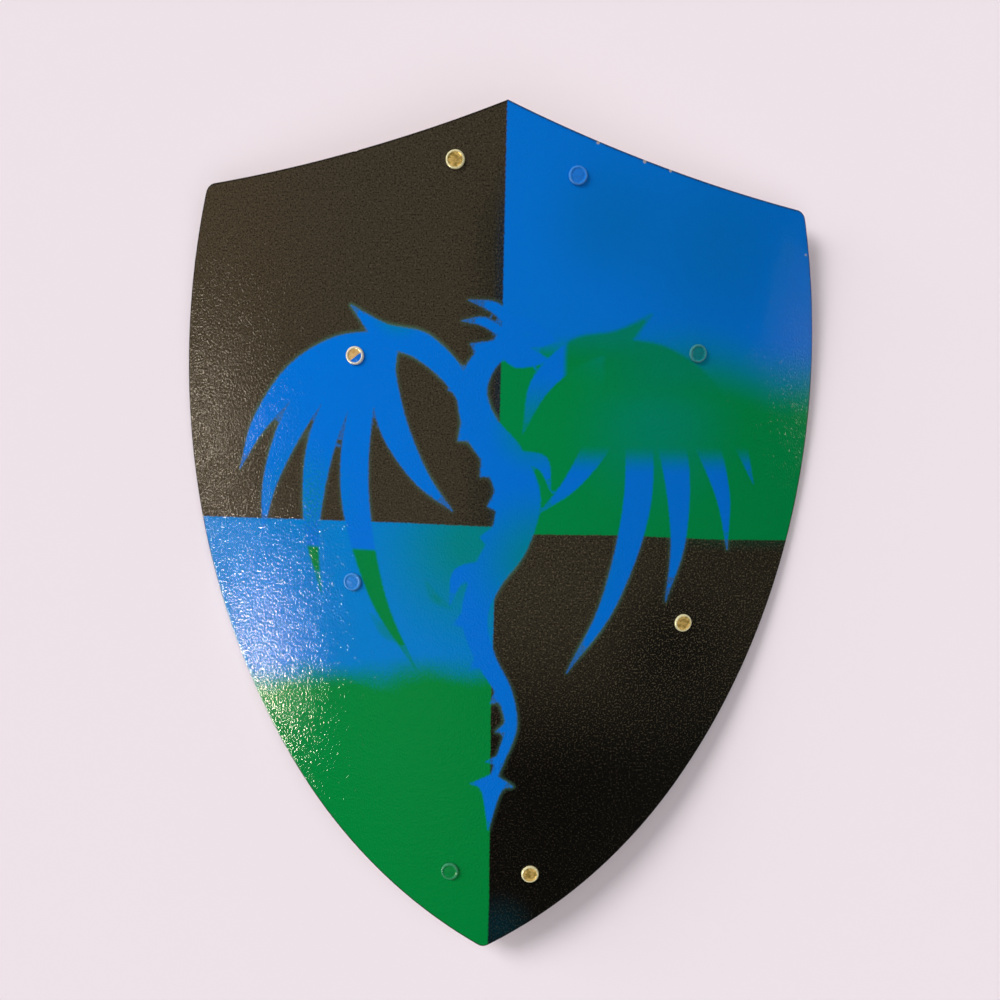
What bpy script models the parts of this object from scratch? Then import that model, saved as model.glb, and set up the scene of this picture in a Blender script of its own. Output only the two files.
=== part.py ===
"""A small heater shield of bent plywood with riveted leather arm straps.

The shield lies face up, its point towards -Y and its peak towards +Y, on the two side
edges of its bent board. The board is drawn flat in sheet coordinates, across (s) and
along (v) from the middle of its widest line, and is then bent about the long axis.
Units are metres.
"""
import math

import bmesh
import bpy
from mathutils import Vector, geometry

# Board, measured along its bent sheet
GIRTH = 0.3275
BOARD_THICKNESS = 0.004
EDGE_DROP = 0.030
PEAK_HEIGHT = 0.1336
SHOULDER_HEIGHT_RIGHT = 0.0891
SHOULDER_HEIGHT_LEFT = 0.0937
TOP_RADIUS = 0.590
SIDE_RADIUS = 0.361
SIDE_SWEEP = math.radians(34.6)
POINT_RADIUS = 0.295
SHOULDER_ROUND = 0.006
TIP_ROUND = 0.005
RIM_ROUND = 0.0008

# Rivets
HEAD_DIAMETER = 0.0092
HEAD_HEIGHT = 0.0013
HEAD_RIM_WIDTH = 0.0014
HEAD_DISH_DEPTH = 0.0003
CAP_DIAMETER = 0.0084
CAP_HEIGHT = 0.0009
SHANK_DIAMETER = 0.003
SHANK_CLEARANCE = 0.0003
SEAT_GAP = 0.0003

# Arm straps on the back, each between two of the rivets
STRAP_WIDTH = 0.025
STRAP_THICKNESS = 0.0022
STRAP_END = 0.012
HAND_STRAP_BOW = 0.0135
ARM_STRAP_BOW = 0.0105
STRAP_SEAT_MARGIN = 0.0058
STRAP_ROUND = 0.0004

# Places on the sheet, across and along from the middle of the widest line
HAND_STRAP_ACROSS = -0.0715
HAND_STRAP_TOP = 0.0117
HAND_STRAP_BOTTOM = -0.1018
ARM_STRAP_ACROSS = 0.0983
ARM_STRAP_TOP = 0.0176
ARM_STRAP_BOTTOM = -0.1193
PEAK_RIVET_LEFT = (-0.0241, 0.1055)
PEAK_RIVET_RIGHT = (0.0344, 0.0999)
TIP_RIVET_LEFT = (-0.0182, -0.2530)
TIP_RIVET_RIGHT = (0.0235, -0.2534)

# How finely round shapes are drawn
STRIPS = 33
ARC_CHORD = 0.016
ROUND_STEPS = 4
HOLE_SIDES = 16
RIVET_SIDES = 20
BOW_STEPS = 8
WELD = 0.000001
FLAT_ANGLE = math.radians(0.3)


def bend_radius():
    """Radius of the front face, from the half girth and how far its edge drops."""
    low = GIRTH / 2
    high = 100.0
    for _ in range(80):
        radius = (low + high) / 2
        if radius * (1 - math.cos(GIRTH / 2 / radius)) > EDGE_DROP:
            low = radius
        else:
            high = radius
    return radius


BEND = bend_radius()
STRIP_WIDTH = GIRTH / STRIPS


def strip_edge(number):
    """Unit direction from the bend's axis to the given strip line."""
    turn = (number - STRIPS / 2) * STRIP_WIDTH / BEND
    return Vector((math.sin(turn), 0, math.cos(turn)))


def strip_of(across):
    """Number of the flat strip that holds this place."""
    return min(max(math.floor(across / STRIP_WIDTH + STRIPS / 2), 0), STRIPS - 1)


def bent(across, along, height):
    """Space position of a sheet place, with its height above the front face."""
    number = strip_of(across)
    share = across / STRIP_WIDTH + STRIPS / 2 - number
    direction = strip_edge(number).lerp(strip_edge(number + 1), share)
    point = direction * (BEND + height)
    return Vector((point.x, along, point.z - BEND))


def strip_turn(across):
    """Angle about +Y of the flat strip that holds this place."""
    return (strip_of(across) + 0.5 - STRIPS / 2) * STRIP_WIDTH / BEND


def arc(centre, radius, start, end, steps):
    """Points along an arc, both ends included."""
    angles = [start + (end - start) * i / steps for i in range(steps + 1)]
    return [centre + radius * Vector((math.cos(a), math.sin(a))) for a in angles]


def arc_between(centre, start, end, steps=None):
    """Points of the arc about a centre that runs the short way from start to end."""
    first = start - centre
    last = end - centre
    begin = math.atan2(first.y, first.x)
    turn = (math.atan2(last.y, last.x) - begin + math.pi) % (2 * math.pi) - math.pi
    if steps is None:
        steps = math.ceil(abs(turn) * first.length / ARC_CHORD)
    return arc(centre, first.length, begin, begin + turn, steps)


def circles_meet(centre_a, radius_a, centre_b, radius_b):
    """The crossing of two circles that lies further out, towards +X."""
    crossings = geometry.intersect_sphere_sphere_2d(centre_a, radius_a, centre_b, radius_b)
    return max(crossings, key=lambda point: point.x)


def half_outline(shoulder_height):
    """The right half of the board's outline, from the peak down to the tip."""
    side = Vector((GIRTH / 2 - SIDE_RADIUS, 0))
    joint = side + SIDE_RADIUS * Vector((math.cos(SIDE_SWEEP), -math.sin(SIDE_SWEEP)))
    point = side + (joint - side) * (1 - POINT_RADIUS / SIDE_RADIUS)

    corner = Vector((side.x + math.sqrt(SIDE_RADIUS**2 - shoulder_height**2), shoulder_height))
    peak = Vector((0, PEAK_HEIGHT))
    chord = corner - peak
    outward = Vector((-chord.y, chord.x)).normalized()
    top = (peak + corner) / 2 + outward * math.sqrt(TOP_RADIUS**2 - chord.length_squared / 4)

    shoulder = circles_meet(side, SIDE_RADIUS - SHOULDER_ROUND, top, TOP_RADIUS + SHOULDER_ROUND)
    top_end = top + (shoulder - top).normalized() * TOP_RADIUS
    side_start = side + (shoulder - side).normalized() * SIDE_RADIUS

    tip = Vector((0, point.y - math.sqrt((POINT_RADIUS - TIP_ROUND) ** 2 - point.x**2)))
    point_end = point + (tip - point).normalized() * POINT_RADIUS
    tip_bottom = tip - Vector((0, TIP_ROUND))

    outline = arc_between(top, peak, top_end)
    outline += arc_between(shoulder, top_end, side_start, ROUND_STEPS)[1:]
    outline += arc_between(side, side_start, joint)[1:]
    outline += arc_between(point, joint, point_end)[1:]
    outline += arc_between(tip, point_end, tip_bottom, ROUND_STEPS)[1:]
    return outline


def board_outline():
    """The whole outline, clockwise from the peak."""
    right = half_outline(SHOULDER_HEIGHT_RIGHT)
    left = half_outline(SHOULDER_HEIGHT_LEFT)
    mirrored = [Vector((-point.x, point.y)) for point in reversed(left)]
    return right + mirrored[1:-1]


def strap_outline(across, top, bottom):
    """A strap laid flat, with round ends beyond its two rivets."""
    half = STRAP_WIDTH / 2
    steps = 2 * ROUND_STEPS
    reach = STRAP_END - half
    upper = arc(Vector((across, top + reach)), half, 0, math.pi, steps)
    lower = arc(Vector((across, bottom - reach)), half, math.pi, 2 * math.pi, steps)
    return upper + lower


def flat_plate(name, outline, front, back):
    """A flat sheet with the given outline, as a bmesh between two heights."""
    curve = bpy.data.curves.new(name, "CURVE")
    curve.dimensions = "2D"
    curve.fill_mode = "BOTH"
    curve.extrude = (front - back) / 2
    spline = curve.splines.new("POLY")
    spline.points.add(len(outline) - 1)
    spline.use_cyclic_u = True
    for target, point in zip(spline.points, outline):
        target.co = (point.x, point.y, 0, 1)
    drawing = bpy.data.objects.new(name, curve)
    bpy.context.scene.collection.objects.link(drawing)
    evaluated = drawing.evaluated_get(bpy.context.evaluated_depsgraph_get())
    mesh = bpy.data.meshes.new_from_object(evaluated)
    plate = bmesh.new()
    plate.from_mesh(mesh)
    bpy.data.objects.remove(drawing)
    bpy.data.curves.remove(curve)
    bpy.data.meshes.remove(mesh)
    bmesh.ops.remove_doubles(plate, verts=plate.verts, dist=WELD)
    bmesh.ops.dissolve_limit(plate, angle_limit=FLAT_ANGLE, verts=[], edges=plate.edges[:])
    bmesh.ops.translate(plate, verts=plate.verts, vec=(0, 0, (front + back) / 2))
    return plate


def cut_along(plate, axis, positions):
    """Cuts new edges across the sheet at each position on an axis."""
    normal = Vector((0, 0, 0))
    normal[axis] = 1
    for position in positions:
        everything = plate.verts[:] + plate.edges[:] + plate.faces[:]
        bmesh.ops.bisect_plane(
            plate, geom=everything, dist=WELD, plane_co=normal * position, plane_no=normal
        )


def strip_lines():
    """Places of the lines between the flat strips."""
    return [(number - STRIPS / 2) * STRIP_WIDTH for number in range(1, STRIPS)]


def mark_rims(plate):
    """Gives full bevel weight to the front and back rims of the sheet."""
    weight = plate.edges.layers.float.new("bevel_weight_edge")
    for edge in plate.edges:
        level = abs(edge.verts[0].co.z - edge.verts[1].co.z) < WELD
        if level and edge.calc_face_angle(0) > math.radians(45):
            edge[weight] = 1.0


def bend_plate(plate, lift):
    """Bends the sheet strip by strip, after moving each place by its own lift."""
    for vertex in plate.verts:
        across, along, height = vertex.co
        vertex.co = bent(across, along, height - lift(along))
    bmesh.ops.recalc_face_normals(plate, faces=plate.faces[:])


def material(name, colour, roughness, metallic=0.0):
    """A Principled material."""
    result = bpy.data.materials.new(name)
    result.use_nodes = True
    shader = result.node_tree.nodes["Principled BSDF"]
    shader.inputs["Base Color"].default_value = (*colour, 1)
    shader.inputs["Roughness"].default_value = roughness
    shader.inputs["Metallic"].default_value = metallic
    return result


def add_object(name, mesh, finish, collection, parent):
    """Links one named object and gives it its material and parent."""
    result = bpy.data.objects.new(name, mesh)
    mesh.materials.append(finish)
    collection.objects.link(result)
    result.parent = parent
    return result


def add_plate(name, plate, finish, rim, pieces, cutters):
    """Turns a finished sheet into an object with softened rims and rivet holes."""
    mesh = bpy.data.meshes.new(name)
    plate.to_mesh(mesh)
    plate.free()
    result = add_object(name, mesh, finish, *pieces)
    bevel = result.modifiers.new("Rims", "BEVEL")
    bevel.limit_method = "WEIGHT"
    bevel.width = rim
    bevel.segments = 2
    holes = result.modifiers.new("Rivet holes", "BOOLEAN")
    holes.operation = "DIFFERENCE"
    holes.operand_type = "COLLECTION"
    holes.collection = cutters
    return result


def add_board(finish, pieces, cutters):
    """The painted board: one bent sheet with its rivet holes."""
    plate = flat_plate("shield_board", board_outline(), 0, -BOARD_THICKNESS)
    cut_along(plate, 0, strip_lines())
    mark_rims(plate)
    bend_plate(plate, lambda along: 0)
    return add_plate("shield_board", plate, finish, RIM_ROUND, pieces, cutters)


def add_strap(name, across, top, bottom, bow, finish, pieces, cutters):
    """One leather strap, flat under its two rivets and bowed off the board between them."""
    front = -BOARD_THICKNESS - SEAT_GAP
    outline = strap_outline(across, top, bottom)
    plate = flat_plate(name, outline, front, front - STRAP_THICKNESS)
    middle = (top + bottom) / 2
    reach = (top - bottom) / 2 - CAP_DIAMETER / 2 - STRAP_SEAT_MARGIN

    def lift(along):
        share = min(abs(along - middle) / reach, 1)
        return bow * (1 + math.cos(math.pi * share)) / 2

    lines = [line for line in strip_lines() if abs(line - across) < STRAP_WIDTH / 2]
    cut_along(plate, 0, lines)
    steps = range(-BOW_STEPS, BOW_STEPS + 1)
    cut_along(plate, 1, [middle + reach * step / BOW_STEPS for step in steps])
    mark_rims(plate)
    bend_plate(plate, lift)
    return add_plate(name, plate, finish, STRAP_ROUND, pieces, cutters)


def set_square(target, place):
    """Puts an object on the front face, square to it, at a place on the sheet."""
    target.location = bent(*place, 0)
    target.rotation_euler.y = strip_turn(place[0])


def add_hole_cutter(place, cutters, parent):
    """A round cutter through the board and any strap behind it."""
    drill = bmesh.new()
    radius = SHANK_DIAMETER / 2 + SHANK_CLEARANCE
    reach = 4 * (BOARD_THICKNESS + STRAP_THICKNESS)
    bmesh.ops.create_cone(
        drill,
        cap_ends=True,
        segments=HOLE_SIDES,
        radius1=radius,
        radius2=radius,
        depth=reach,
    )
    mesh = bpy.data.meshes.new("rivet_hole")
    drill.to_mesh(mesh)
    drill.free()
    cutter = bpy.data.objects.new("rivet_hole", mesh)
    cutter.parent = parent
    cutter.hide_render = True
    cutter.display_type = "WIRE"
    cutters.objects.link(cutter)
    set_square(cutter, place)


def rivet_profile(grip):
    """Half section of a rivet whose head sits on the front face, over a stack it grips."""
    head = HEAD_DIAMETER / 2
    dish = head - HEAD_RIM_WIDTH
    rim = head - HEAD_RIM_WIDTH / 2
    cap = CAP_DIAMETER / 2
    shank = SHANK_DIAMETER / 2
    seat = SEAT_GAP
    top = seat + HEAD_HEIGHT
    under = -grip - SEAT_GAP
    bottom = under - CAP_HEIGHT
    return [
        (0, top - HEAD_DISH_DEPTH),
        (dish, top - HEAD_DISH_DEPTH),
        (rim, top),
        (head, top - HEAD_HEIGHT / 2),
        (head, seat),
        (shank, seat),
        (shank, under),
        (cap, under),
        (cap, bottom + CAP_HEIGHT / 2),
        (cap - CAP_HEIGHT / 2, bottom),
        (0, bottom),
    ]


def add_rivet(name, place, grip, finish, pieces):
    """One turned rivet, square to the board's face."""
    profile = bmesh.new()
    corners = [profile.verts.new((radius, 0, height)) for radius, height in rivet_profile(grip)]
    for first, second in zip(corners, corners[1:]):
        profile.edges.new((first, second))
    mesh = bpy.data.meshes.new(name)
    profile.to_mesh(mesh)
    profile.free()
    rivet = add_object(name, mesh, finish, *pieces)
    set_square(rivet, place)
    screw = rivet.modifiers.new("Turned", "SCREW")
    screw.steps = RIVET_SIDES
    screw.render_steps = RIVET_SIDES
    screw.use_merge_vertices = True
    screw.merge_threshold = 0.00001
    screw.use_smooth_shade = False


def centroid_along(outline):
    """Distance along the sheet of the outline's centre of area."""
    area = 0.0
    moment = 0.0
    for first, second in zip(outline, outline[1:] + outline[:1]):
        cross = first.x * second.y - second.x * first.y
        area += cross / 2
        moment += cross * (first.y + second.y) / 6
    return moment / area


def rest_tilt():
    """Tilt about +X that lays the side edges' stretch under the weight on the ground."""
    centre = centroid_along(board_outline())
    outline = half_outline(SHOULDER_HEIGHT_RIGHT)
    for first, second in zip(outline, outline[1:]):
        if first.y >= centre > second.y:
            upper = bent(first.x, first.y, -BOARD_THICKNESS)
            lower = bent(second.x, second.y, -BOARD_THICKNESS)
            return math.atan2(lower.z - upper.z, upper.y - lower.y)
    return 0.0


def lay_down(board, frame):
    """Tilts the frame and moves it so that the board rests on the ground, centred."""
    frame.rotation_euler.x = rest_tilt()
    bpy.context.view_layer.update()
    evaluated = board.evaluated_get(bpy.context.evaluated_depsgraph_get())
    points = [board.matrix_world @ vertex.co for vertex in evaluated.data.vertices]
    lowest = min(point.z for point in points)
    back = min(point.y for point in points)
    front = max(point.y for point in points)
    frame.location = Vector((0, -(back + front) / 2, -lowest))


def clear_scene():
    """Removes whatever the scene holds."""
    for existing in list(bpy.data.objects):
        bpy.data.objects.remove(existing)


def build():
    """Makes every piece of the shield."""
    clear_scene()
    collection = bpy.data.collections.new("heater_shield")
    cutters = bpy.data.collections.new("cutters")
    bpy.context.scene.collection.children.link(collection)
    bpy.context.scene.collection.children.link(cutters)
    frame = bpy.data.objects.new("rest_frame", None)
    collection.objects.link(frame)
    pieces = (collection, frame)

    paint = material("painted wood", (0.02, 0.10, 0.22), 0.35)
    leather = material("strap leather", (0.16, 0.075, 0.035), 0.6)
    brass = material("brass", (0.72, 0.52, 0.22), 0.3, 1.0)

    bare = BOARD_THICKNESS
    strapped = BOARD_THICKNESS + SEAT_GAP + STRAP_THICKNESS
    rivets = {
        "rivet_peak_left": (PEAK_RIVET_LEFT, bare),
        "rivet_peak_right": (PEAK_RIVET_RIGHT, bare),
        "rivet_hand_strap_top": ((HAND_STRAP_ACROSS, HAND_STRAP_TOP), strapped),
        "rivet_hand_strap_bottom": ((HAND_STRAP_ACROSS, HAND_STRAP_BOTTOM), strapped),
        "rivet_arm_strap_top": ((ARM_STRAP_ACROSS, ARM_STRAP_TOP), strapped),
        "rivet_arm_strap_bottom": ((ARM_STRAP_ACROSS, ARM_STRAP_BOTTOM), strapped),
        "rivet_tip_left": (TIP_RIVET_LEFT, bare),
        "rivet_tip_right": (TIP_RIVET_RIGHT, bare),
    }
    for name, (place, grip) in rivets.items():
        add_hole_cutter(place, cutters, frame)
        add_rivet(name, place, grip, brass, pieces)

    hand = (HAND_STRAP_ACROSS, HAND_STRAP_TOP, HAND_STRAP_BOTTOM, HAND_STRAP_BOW)
    arm = (ARM_STRAP_ACROSS, ARM_STRAP_TOP, ARM_STRAP_BOTTOM, ARM_STRAP_BOW)
    add_strap("hand_strap", *hand, leather, pieces, cutters)
    add_strap("arm_strap", *arm, leather, pieces, cutters)
    board = add_board(paint, pieces, cutters)
    lay_down(board, frame)
    bpy.context.view_layer.update()


build()
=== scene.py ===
"""The wooden shield's looks: its painted board, rivets and straps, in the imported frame.

Shapes are drawn in millimetres on the flat sheet (across, along) from the middle of the
board's widest line, with the height above its painted face. place() bends the sheet, lays
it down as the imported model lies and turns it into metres.
"""
import math

import bpy
import numpy as np
from mathutils import Matrix, Vector, geometry, noise


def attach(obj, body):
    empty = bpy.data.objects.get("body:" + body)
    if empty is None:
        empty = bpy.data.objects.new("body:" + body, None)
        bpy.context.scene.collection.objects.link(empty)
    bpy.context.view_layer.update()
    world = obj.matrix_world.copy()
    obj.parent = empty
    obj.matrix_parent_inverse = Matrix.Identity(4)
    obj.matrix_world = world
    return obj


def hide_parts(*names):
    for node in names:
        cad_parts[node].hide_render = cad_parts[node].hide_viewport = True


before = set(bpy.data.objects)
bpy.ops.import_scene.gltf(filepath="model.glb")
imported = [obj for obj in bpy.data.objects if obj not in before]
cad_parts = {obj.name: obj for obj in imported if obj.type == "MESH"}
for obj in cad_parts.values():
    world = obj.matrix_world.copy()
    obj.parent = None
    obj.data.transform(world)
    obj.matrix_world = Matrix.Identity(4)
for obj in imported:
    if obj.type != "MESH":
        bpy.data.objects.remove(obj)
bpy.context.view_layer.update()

# The board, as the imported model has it
GIRTH = 327.5
THICKNESS = 4.0
BEND = 441.886
PEAK_HEIGHT = 133.6
SHOULDER_HEIGHT_RIGHT = 89.1
SHOULDER_HEIGHT_LEFT = 93.7
TOP_RADIUS = 590.0
SIDE_RADIUS = 361.0
SIDE_SWEEP = math.radians(34.6)
POINT_RADIUS = 295.0
SHOULDER_ROUND = 6.0
TIP_ROUND = 5.0
RIM_ROUND = 0.8
REST_TILT = math.radians(3.2554)
REST_PLACE = (0.0, 80.361, 35.147)

# Rivets
HEAD_RADIUS = 4.6
CAP_RADIUS = 4.2
SHANK_RADIUS = 1.5
HOLE_RADIUS = 1.8
SEAT_GAP = 0.3
HEAD_HEIGHT = 1.3
CAP_HEIGHT = 0.9

# Straps
STRAP_WIDTH = 25.0
STRAP_THICKNESS = 2.2
STRAP_END = 12.0
STRAP_ROUND = 0.6
STRAP_SEAT_MARGIN = 5.8
STRAPS = {
    "hand_strap": (-71.5, 11.7, -101.8, 13.5),
    "arm_strap": (98.3, 17.6, -119.3, 10.5),
}

RIVETS = {
    "rivet_peak_left": (-24.1, 105.5),
    "rivet_peak_right": (34.4, 99.9),
    "rivet_hand_strap_top": (-71.5, 11.7),
    "rivet_hand_strap_bottom": (-71.5, -101.8),
    "rivet_arm_strap_top": (98.3, 17.6),
    "rivet_arm_strap_bottom": (98.3, -119.3),
    "rivet_tip_left": (-18.2, -253.0),
    "rivet_tip_right": (23.5, -253.4),
}

# How finely things are drawn
OUTLINE_STEP = 1.5
FACE_GRID = 2.2
BACK_GRID = 6.0
STRAP_GRID = 1.2
TURNS = 48

# The stencilled dragon, a plain design of the builder's own. Bands are given by places
# (across, along, half width) on their middle line, and outlines by their corners, where a
# third value marks a sharp one. Both wings are one regular fan.
WRIST = (56.0, 22.0)
ARM = [(12, -24, 0), (20, 0, 5), (38, 17, 6.5), (58, 23, 5), (74, 36, 0)]
FINGERS = [(42, 104), (58, 122), (76, 134), (96, 168), (112, 92)]
FINGER_BOW = 32.0
FINGER_WIDTHS = [(0.03, 3.0), (0.25, 6.5), (0.5, 7.0), (0.78, 4.0), (1.0, 0.0)]
WEB_TIP = 0.44
WEB_DIP = 0.28
BODY = [
    (8, 20, 4), (-5, 14, 6), (-13, -2, 7), (-9, -20, 8.5), (3, -36, 10), (11, -56, 11),
    (7, -78, 10), (-4, -98, 8), (-9, -118, 6.5), (-3, -138, 5), (7, -156, 4),
    (11, -174, 3), (6, -192, 2.2), (2, -204, 1.5),
]
HEAD = [
    (-3, 18), (1, 29), (9, 33), (17, 30), (28, 22, 1), (21, 19), (15, 18, 1), (25, 12, 1),
    (15, 9), (6, 9),
]
EYE = [(9, 25, 1), (13, 27), (16, 24, 1), (12, 23.5)]
HORNS = [[(6, 29, 3), (-4, 37, 2.5), (-16, 40, 0)], [(1, 25, 2.5), (-9, 30, 2), (-19, 30, 0)]]
LEGS = [[(6, -36, 4), (22, -38, 3.5), (27, -52, 0)], [(0, -92, 5), (-17, -96, 4), (-22, -112, 0)]]
TAIL_END = [(3, -199, 1), (13, -206, 1), (7, -209), (1, -230, 1), (-3, -209), (-9, -205, 1)]
SPINE_HEIGHT = 4.5
FAINT_STROKES = [
    [(-62, -118, 0), (-54, -127, 2.5), (-44, -133, 0)],
    [(-34, -100, 0), (-29, -108, 2), (-21, -113, 0)],
]
FIELD_LIMIT = 8

# Small damage: a nick in the rim, and chips in the paint with their sizes
NICK_PLACE = (-72.3, 108.3)
NICK_REACH = 1.4
NICK_DEPTH = 0.5
CHIPS = (
    ((43.5, 115.4), 1.3), ((66.5, 107.8), 1.4), ((79.5, 104.2), 1.2), ((155.0, 68.0), 1.0),
)

# The half painted rivet: the slant of its paint's edge, and how far that is off its middle
SPLIT_SLANT = (0.62, -0.78)
SPLIT_SHIFT = 0.6

# The sheet's place in the UV map
UV_SPAN = 450
UV_SHIFT = 0.55


def point(across, along):
    return np.array((across, along), float)


def arc(centre, start, end, steps=None):
    """Points of the arc about a centre that runs the short way from start to end."""
    first = start - centre
    last = end - centre
    radius = math.hypot(*first)
    begin = math.atan2(first[1], first[0])
    turn = (math.atan2(last[1], last[0]) - begin + math.pi) % (2 * math.pi) - math.pi
    if steps is None:
        steps = math.ceil(abs(turn) * radius / OUTLINE_STEP)
    angles = begin + turn * np.arange(steps + 1) / steps
    return centre + radius * np.stack((np.cos(angles), np.sin(angles)), 1)


def unit(vector):
    return vector / math.hypot(*vector)


def circles_meet(centre_a, radius_a, centre_b, radius_b):
    """The crossing of two circles that lies further out, towards +X."""
    crossings = geometry.intersect_sphere_sphere_2d(centre_a, radius_a, centre_b, radius_b)
    return np.array(max(crossings, key=lambda place: place.x))


def half_outline(shoulder_height):
    """The right half of the board's outline, from the peak down to the tip."""
    side = point(GIRTH / 2 - SIDE_RADIUS, 0)
    joint = side + SIDE_RADIUS * point(math.cos(SIDE_SWEEP), -math.sin(SIDE_SWEEP))
    centre = side + (joint - side) * (1 - POINT_RADIUS / SIDE_RADIUS)
    corner = point(side[0] + math.sqrt(SIDE_RADIUS**2 - shoulder_height**2), shoulder_height)
    peak = point(0, PEAK_HEIGHT)
    chord = corner - peak
    outward = unit(point(-chord[1], chord[0]))
    top = (peak + corner) / 2 + outward * math.sqrt(TOP_RADIUS**2 - chord @ chord / 4)
    shoulder = circles_meet(side, SIDE_RADIUS - SHOULDER_ROUND, top, TOP_RADIUS + SHOULDER_ROUND)
    top_end = top + unit(shoulder - top) * TOP_RADIUS
    side_start = side + unit(shoulder - side) * SIDE_RADIUS
    tip = point(0, centre[1] - math.sqrt((POINT_RADIUS - TIP_ROUND) ** 2 - centre[0] ** 2))
    point_end = centre + unit(tip - centre) * POINT_RADIUS
    parts = [
        arc(top, peak, top_end),
        arc(shoulder, top_end, side_start, 8)[1:],
        arc(side, side_start, joint)[1:],
        arc(centre, joint, point_end)[1:],
        arc(tip, point_end, tip - point(0, TIP_ROUND), 6)[1:],
    ]
    return np.concatenate(parts)


def board_outline():
    """The whole outline, clockwise from the peak."""
    left = half_outline(SHOULDER_HEIGHT_LEFT)[::-1] * (-1, 1)
    return np.concatenate((half_outline(SHOULDER_HEIGHT_RIGHT), left[1:-1]))


def strap_outline(across, top, bottom):
    """A strap laid flat, with round ends beyond its two rivets, clockwise."""
    half = STRAP_WIDTH / 2
    upper = top + STRAP_END - half
    lower = bottom - STRAP_END + half
    turn = np.linspace(0, math.pi, 25)
    straight = np.linspace(upper, lower, round((upper - lower) / OUTLINE_STEP))[1:-1]
    side = np.full(len(straight), half)
    return np.concatenate((
        np.stack((across - half * np.cos(turn), upper + half * np.sin(turn)), 1),
        np.stack((across + side, straight), 1),
        np.stack((across + half * np.cos(turn), lower - half * np.sin(turn)), 1),
        np.stack((across - side, straight[::-1]), 1),
    ))


def smooth_loop(corners, step=1.1):
    """A closed curve through the given places, sharp where a third value says so."""
    places = [point(*corner[:2]) for corner in corners]
    sharp = [len(corner) > 2 for corner in corners]
    count = len(places)
    result = []
    for i in range(count):
        here = places[i]
        after = places[(i + 1) % count]
        chord = after - here
        leave = chord if sharp[i] else (after - places[i - 1]) / 2
        reach = chord if sharp[(i + 1) % count] else (places[(i + 2) % count] - here) / 2
        steps = max(3, round(math.hypot(*chord) / step))
        t = (np.arange(steps) / steps)[:, None]
        result.append(
            (2 * t**3 - 3 * t**2 + 1) * here + (t**3 - 2 * t**2 + t) * leave
            + (3 * t**2 - 2 * t**3) * after + (t**3 - t**2) * reach
        )
    return np.concatenate(result)


def directions(path):
    """The way that a path runs at each of its places."""
    run = np.gradient(path[:, :2], axis=0)
    return run / np.hypot(run[:, 0], run[:, 1])[:, None]


def ribbon(path):
    """Corners of a band along (across, along, half width) places; no width makes a point."""
    path = np.array(path, float)
    run = directions(path)
    side = np.stack((-run[:, 1], run[:, 0]), 1) * path[:, 2:]
    there = [tuple(row) for row in path[:, :2] + side]
    back = [tuple(row) for row in (path[:, :2] - side)[::-1]]
    for edge in (there, back):
        edge[0] += (1,)
        edge[-1] += (1,)
    if path[-1, 2] == 0:
        back = back[1:]
    if path[0, 2] == 0:
        back = back[:-1]
    return there + back


def wing(side):
    """One wing: its arm, its fingers that curve down from the wrist, and their web."""
    def reach_out(angle, length, share):
        turn = math.radians(angle - FINGER_BOW * (1 - share))
        across = WRIST[0] + length * share * math.cos(turn)
        return side * across, WRIST[1] - length * share * math.sin(turn)

    parts = [ribbon([(side * across, along, half) for across, along, half in ARM])]
    web = [(side * (WRIST[0] - 6), WRIST[1], 1)]
    for i, (angle, length) in enumerate(FINGERS):
        parts.append(ribbon([
            (*reach_out(angle, length, share), half) for share, half in FINGER_WIDTHS
        ]))
        web.append((*reach_out(angle, length, WEB_TIP), 1))
        if i + 1 < len(FINGERS):
            after = FINGERS[i + 1]
            middle = (angle + after[0]) / 2, (length + after[1]) / 2
            web.append(reach_out(*middle, WEB_DIP))
    return parts + [web]


def spines(path):
    """A row of teeth down the left side of a band."""
    path = np.array(path, float)
    result = []
    for middle, half, ahead in zip(path[1:-1, :2], path[1:-1, 2], directions(path)[1:-1]):
        out = np.array((ahead[1], -ahead[0]))
        root = middle + out * (half - 1)
        width = 2 + half * 0.4
        result.append([
            (*(root - ahead * width), 1),
            (*(root + out * (1 + SPINE_HEIGHT) + ahead * 3), 1),
            (*(root + ahead * width), 1),
        ])
    return result


def dragon():
    """Corners of the whole figure and of its wings alone, to be added or cut in turn."""
    wings = [(corners, 1) for side in (-1, 1) for corners in wing(side)]
    whole = wings + [(corners, 1) for corners in spines(BODY)]
    whole += [(ribbon(path), 1) for path in [BODY] + HORNS + LEGS]
    whole += [(TAIL_END, 1), (HEAD, 1), (EYE, -1)]
    return whole, wings


def signed_distance(points, loop, reach=1000.0):
    """Distance from each point to a closed loop, positive inside it, -reach if far off."""
    result = np.full(len(points), -reach)
    close = ((points > loop.min(0) - reach) & (points < loop.max(0) + reach)).all(1)
    result[close] = close_distance(points[close], loop)
    return result


def close_distance(points, loop):
    end = np.roll(loop, -1, 0)
    step = end - loop
    length = np.maximum((step**2).sum(1), 1e-12)
    rise = np.where(step[:, 1] == 0, 1, step[:, 1])
    result = np.empty(len(points))
    for first in range(0, len(points), 2000):
        some = points[first : first + 2000, None]
        away = some - loop
        share = np.clip((away * step).sum(2) / length, 0, 1)
        gap = np.hypot(*np.moveaxis(away - share[..., None] * step, 2, 0)).min(1)
        spans = (loop[:, 1] > some[..., 1]) != (end[:, 1] > some[..., 1])
        meets = loop[:, 0] + (some[..., 1] - loop[:, 1]) * step[:, 0] / rise
        inside = (spans & (some[..., 0] < meets)).sum(1) % 2 == 1
        result[first : first + 2000] = np.where(inside, gap, -gap)
    return result


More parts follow.
